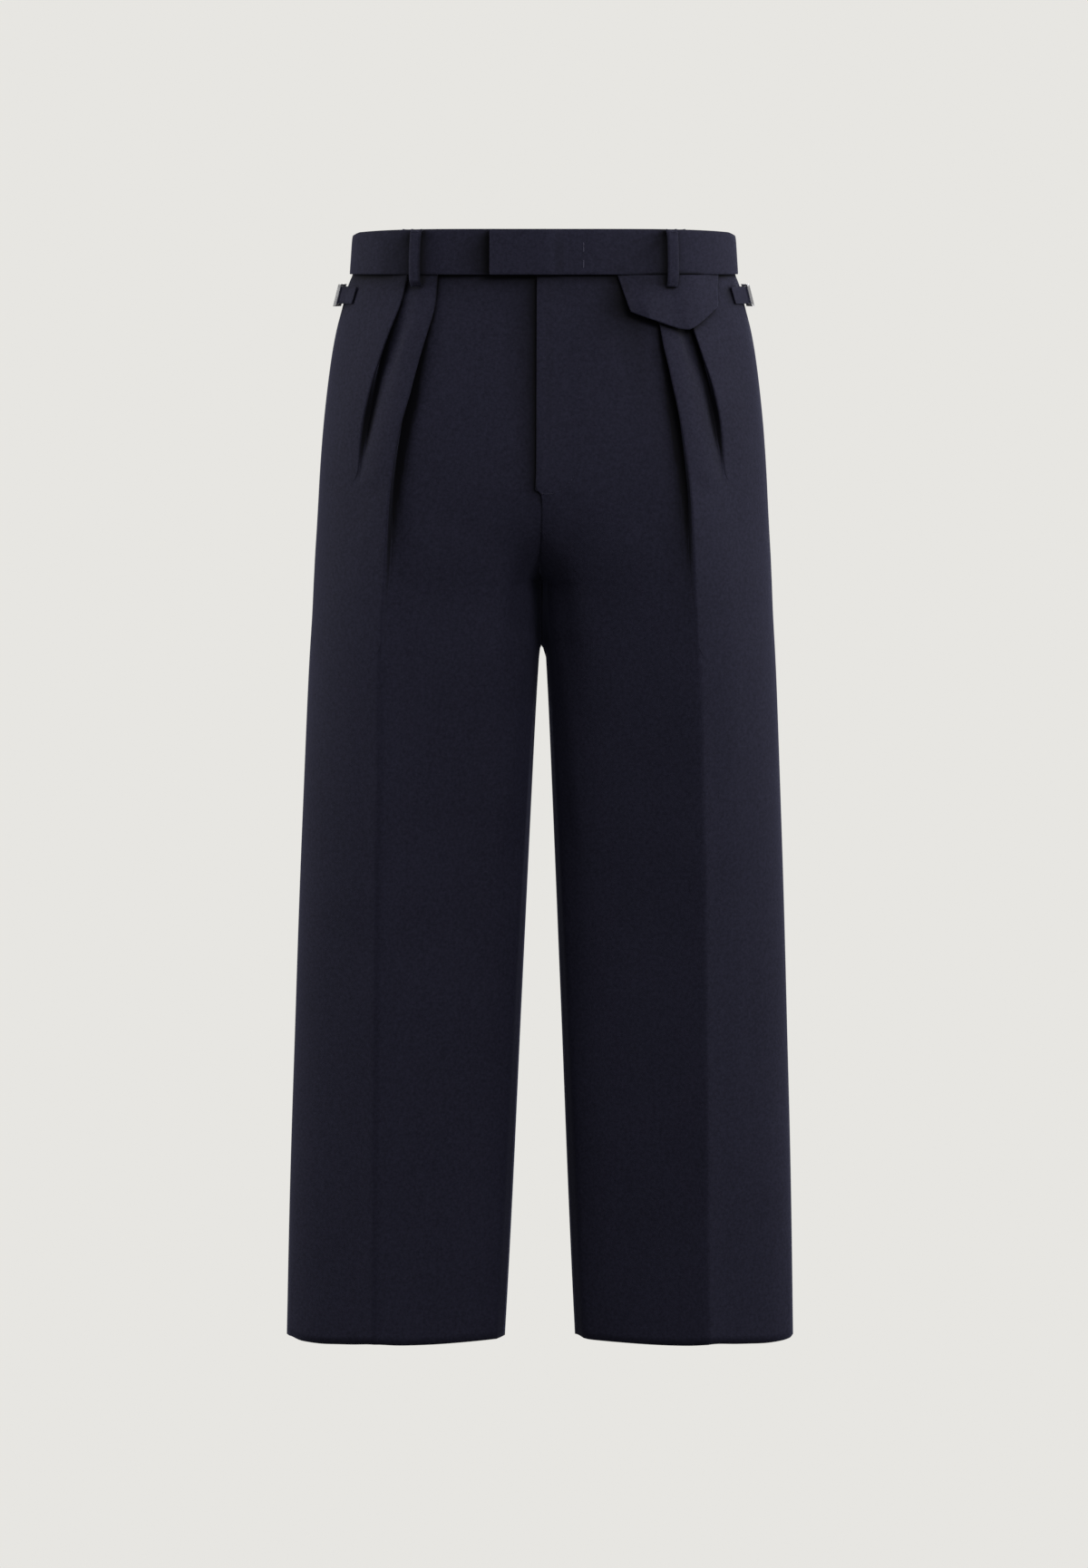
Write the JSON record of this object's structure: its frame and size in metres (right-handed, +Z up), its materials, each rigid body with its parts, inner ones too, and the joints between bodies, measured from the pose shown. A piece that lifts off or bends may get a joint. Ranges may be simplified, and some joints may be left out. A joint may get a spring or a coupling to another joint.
{
  "type": "pleated trousers",
  "caption": "Full-cut wool trousers with forward pleats, pressed creases, an extended waistband tab, belt loops, a ticket-pocket flap and buckled side adjusters.",
  "frame": {"origin": "centre of the waistband ring, half way up the band, where the wearer's waist holds the trousers", "axes": "+Z up along the legs' length, -Y towards the front, +X towards the wearer's left side"},
  "size_m": [0.486, 0.2224, 1.0596],
  "materials": {
    "worsted": "fine dark navy worsted with a slight sheen",
    "zip_tape": "plain woven tape",
    "buckle_metal": "polished"
  },
  "bodies": {
    "root": {"front_left": "worsted", "front_right": "worsted", "back_left": "worsted", "back_right": "worsted", "waistband_left": "worsted", "waistband_right": "worsted", "ticket_flap": "worsted", "belt_loop_front_left": "worsted", "belt_loop_front_right": "worsted", "belt_loop_back_left": "worsted", "belt_loop_back_right": "worsted", "belt_loop_back_centre": "worsted", "adjuster_strap_left": "worsted", "adjuster_strap_right": "worsted", "adjuster_anchor_left": "worsted", "adjuster_anchor_right": "worsted", "fly_zip": "zip_tape", "adjuster_frame_left": "buckle_metal", "adjuster_frame_right": "buckle_metal"}
  },
  "joints": []
}
